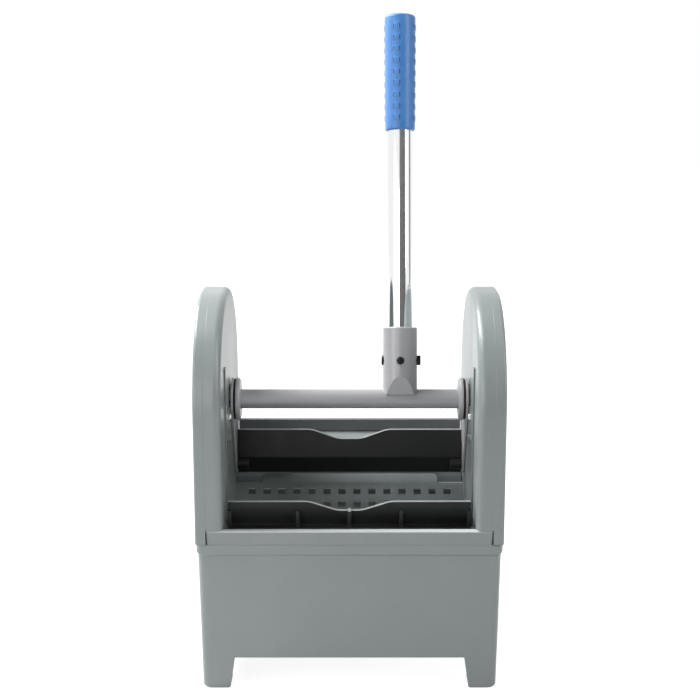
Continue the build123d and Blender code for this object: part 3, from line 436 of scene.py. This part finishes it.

# The jaws: copies of the solids, cut into columns, whose dip is drawn to straight flanks and a level floor,
# and whose upward-facing rim carries a painted highlight
jawDip = {"half": 40.0, "flat": 12.0, "depth": 9.5, "soft": 0.18,  # soft is the rounded share of a flank
          "column": 2.0, "slack": 0.1, "rim": 1.4, "fade": 12.0, "slope": 0.169,  # slope is the jaw's lean
          "paintedHighlight": 0.9, "lift": 0.25,  # how pale the painted highlight on the rim is, and the least that its faces look up
          "sharp": 30, "slot": "black_plastic"}
jaws = {
    "movingJaw": {"stands": "rear_jaw", "body": "jaw", "back": 1},
    "fixedJaw": {"stands": "front_jaw", "body": "body", "back": -1},
}


def solidDip(x):  # depth of the solid's dip: a hollow arc between two round shoulders
    half, depth = jawDip["half"], jawDip["depth"]
    radius = (half ** 2 + depth ** 2) / (4 * depth)
    if x > half:
        return 0.0
    if x < half / 2:
        return depth - radius + math.sqrt(radius ** 2 - x ** 2)
    return radius - math.sqrt(radius ** 2 - (half - x) ** 2)


def drawnDip(x):  # depth of the drawn dip: straight flanks with soft corners
    share, soft = (jawDip["half"] - x) / (jawDip["half"] - jawDip["flat"]), jawDip["soft"]
    if share < soft:
        share = max(0.0, share + soft) ** 2 / (4 * soft)
    elif share > 1 - soft:
        share = 1 - max(0.0, 1 - share + soft) ** 2 / (4 * soft)
    return jawDip["depth"] * share


for name, jaw in jaws.items():
    bm = bmesh.new()
    bm.from_mesh(nodes[jaw["stands"]].data)
    bmesh.ops.remove_doubles(bm, verts=bm.verts[:], dist=weld)
    reach = jawDip["half"] * (1 + jawDip["soft"])
    columns = int(2 * reach / jawDip["column"])
    for step in range(columns + 1):
        cut = (2 * reach * step / columns - reach) * mm
        bmesh.ops.bisect_plane(bm, geom=bm.verts[:] + bm.edges[:] + bm.faces[:], dist=touch,
                               plane_no=(1, 0, 0), plane_co=(cut, 0, 0))
    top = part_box(jaw["stands"])[1][2]
    for vert in bm.verts:
        x = abs(vert.co.x) / mm
        below = (top - vert.co.z) / mm - solidDip(x)
        if x < reach and below > -jawDip["slack"]:
            share = 1 - (below - jawDip["rim"]) / jawDip["fade"]  # the wall below follows less and less
            fall = (drawnDip(x) - solidDip(x)) * min(1.0, max(0.0, share)) * mm
            vert.co.z -= fall
            vert.co.y -= fall * jawDip["slope"] * jaw["back"]
    bm.normal_update()
    paintedHighlight = bm.faces.layers.float.new("paintedHighlight")
    for face in bm.faces:  # painted highlight: the rounded rim's upward-facing faces are marked to be drawn pale
        spot = face.calc_center_median()
        below = (top - spot.z) / mm - drawnDip(abs(spot.x) / mm)
        if face.normal.z > jawDip["lift"] and below < 2 * jawDip["rim"]:
            face[paintedHighlight] = jawDip["paintedHighlight"]
    addPiece(name, bm, {**jawDip, **jaw})

# Studio
studio = {"floorSize": 12.0, "worldLight": 0.02, "ceiling": 0.25, "ceilingFrom": 0.5, "paper": "#b4b4b4",
          "glowNear": 0.9, "glowFar": 1.0, "nearTo": 0.35, "farFrom": 1.6, "velvet": "#727272"}


def seenRays(tree):  # 1 where the background is looked at, straight, in gloss or through glass
    path = addNode(tree, "ShaderNodeLightPath")
    mirrored = addNode(tree, "ShaderNodeMath", {
        0: path.outputs["Is Camera Ray"], 1: path.outputs["Is Glossy Ray"]}, operation="MAXIMUM")
    return addNode(tree, "ShaderNodeMath", {
        0: mirrored.outputs[0], 1: path.outputs["Is Transmission Ray"]}, operation="MAXIMUM").outputs[0]


world = bpy.data.worlds.new("studioAir")
scene.world = world
world.use_nodes = True
tree = world.node_tree
tree.nodes.clear()
direction = addNode(tree, "ShaderNodeTexCoord").outputs["Generated"]
upward = addNode(tree, "ShaderNodeSeparateXYZ", {0: direction})
ceiling = addNode(tree, "ShaderNodeMapRange", {  # the air darkens overhead, which bright metal shows
    "Value": upward.outputs["Z"], "From Min": studio["ceilingFrom"], "From Max": 1.0,
    "To Min": 1.0, "To Max": studio["ceiling"]})
level = addNode(tree, "ShaderNodeMapRange", {
    "Value": seenRays(tree), "To Min": studio["worldLight"], "To Max": ceiling.outputs["Result"]})
air = addNode(tree, "ShaderNodeBackground", {"Color": (1, 1, 1, 1), "Strength": level.outputs["Result"]})
addNode(tree, "ShaderNodeOutputWorld", {"Surface": air.outputs["Background"]})

floorMesh = bpy.data.meshes.new("floor")
bm = bmesh.new()
bmesh.ops.create_grid(bm, x_segments=1, y_segments=1, size=studio["floorSize"] / 2)
bm.to_mesh(floorMesh)
bm.free()
floor = bpy.data.objects.new("floor", floorMesh)
scene.collection.objects.link(floor)
paper = newMaterial("whitePaper")  # matt backdrop paper that fades to white away from the part
tree = paper.node_tree
spot = addNode(tree, "ShaderNodeTexCoord").outputs["Object"]
away = addNode(tree, "ShaderNodeVectorMath", {0: spot}, operation="LENGTH")
fade = addNode(tree, "ShaderNodeMapRange", {
    "Value": away.outputs["Value"], "From Min": studio["nearTo"], "From Max": studio["farFrom"],
    "To Min": studio["glowNear"], "To Max": studio["glowFar"]}, interpolation_type="SMOOTHSTEP")
glow = addNode(tree, "ShaderNodeMath", {0: seenRays(tree), 1: fade.outputs["Result"]}, operation="MULTIPLY")
lit = addNode(tree, "ShaderNodeEmission", {"Strength": glow.outputs[0]})
matt = addNode(tree, "ShaderNodeBsdfDiffuse", {"Color": hexColour(studio["paper"])})
both = addNode(tree, "ShaderNodeAddShader", {0: lit.outputs[0], 1: matt.outputs[0]})
addNode(tree, "ShaderNodeOutputMaterial", {"Surface": both.outputs[0]})
floorMesh.materials.append(paper)

# dark cards out of view, in metres, which the tube shows as its stripes; two also keep light off the part
cards = {
    "frontCard": {"corner": (-0.1, -1.12, 0.0), "along": (1.6, 0, 0), "across": (0, 0, 1.3), "shades": True},
    "sideCard": {"corner": (1.25, 0.10, 0.0), "along": (0, 0.38, 0), "across": (0, 0, 1.1), "shades": True},
    "floorCard": {"corner": (-0.75, 0.40, 0.01), "along": (0.78, 0, 0), "across": (0, 0.75, 0),
                  "shades": False},
}
velvet = newMaterial("greyVelvet")  # dull cloth that gives back little light
tree = velvet.node_tree
pile = addNode(tree, "ShaderNodeBsdfPrincipled", {
    "Base Color": hexColour(studio["velvet"]), "Roughness": 1.0})
addNode(tree, "ShaderNodeOutputMaterial", {"Surface": pile.outputs["BSDF"]})
for name, card in cards.items():
    bm = bmesh.new()
    edge = bmesh.ops.extrude_vert_indiv(bm, verts=[bm.verts.new(card["corner"])])
    bmesh.ops.translate(bm, vec=card["along"], verts=edge["verts"])
    face = bmesh.ops.extrude_edge_only(bm, edges=bm.edges[:])
    farSide = [item for item in face["geom"] if isinstance(item, bmesh.types.BMVert)]
    bmesh.ops.translate(bm, vec=card["across"], verts=farSide)
    cardMesh = bpy.data.meshes.new(name)
    bm.to_mesh(cardMesh)
    bm.free()
    cardMesh.materials.append(velvet)
    cardObject = bpy.data.objects.new(name, cardMesh)
    cardObject.visible_camera = False
    cardObject.visible_shadow = card["shades"]
    cardObject.visible_diffuse = card["shades"]
    scene.collection.objects.link(cardObject)

lampAim = Vector((0, 0, 0.25))
lamps = {  # place and size in metres, power in watts
    "leftBack": {"at": (-1.4, 0.9, 1.8), "size": 1.0, "watts": 62},
    "topLeft": {"at": (-0.9, 0.0, 2.0), "size": 0.7, "watts": 26},
    "fillRight": {"at": (1.6, -0.9, 1.8), "size": 1.0, "watts": 17},
    "sideRight": {"at": (1.75, -1.0, 0.9), "size": 0.7, "watts": 8},
    "frontLow": {"at": (-0.5, -2.3, 0.7), "size": 1.0, "watts": 7},
    "lowLeft": {"at": (-1.5, -1.5, 0.7), "size": 1.0, "watts": 13},
}
for name, lamp in lamps.items():
    light = bpy.data.lights.new(name, "AREA")
    light.shape = "SQUARE"
    light.size = lamp["size"]
    light.energy = lamp["watts"]
    lightObject = bpy.data.objects.new(name, light)
    lightObject.location = lamp["at"]
    lightObject.rotation_euler = (lampAim - Vector(lamp["at"])).to_track_quat("-Z", "Y").to_euler()
    scene.collection.objects.link(lightObject)

# Camera, solved from the photo's edges
shot = {"at": (0.00045, -1.4699, 0.6285), "pitchDown": 11.8, "focalPixels": 1465.0, "imagePixels": 700.0,
        "sensorMm": 36.0}
cameraData = bpy.data.cameras.new("camera")
cameraData.sensor_width = shot["sensorMm"]
cameraData.lens = shot["focalPixels"] / shot["imagePixels"] * shot["sensorMm"]
camera = bpy.data.objects.new("camera", cameraData)
camera.location = shot["at"]
camera.rotation_euler = (math.radians(90 - shot["pitchDown"]), 0, 0)
scene.collection.objects.link(camera)
scene.camera = camera
scene.view_settings.view_transform = "Standard"
print("studio set")
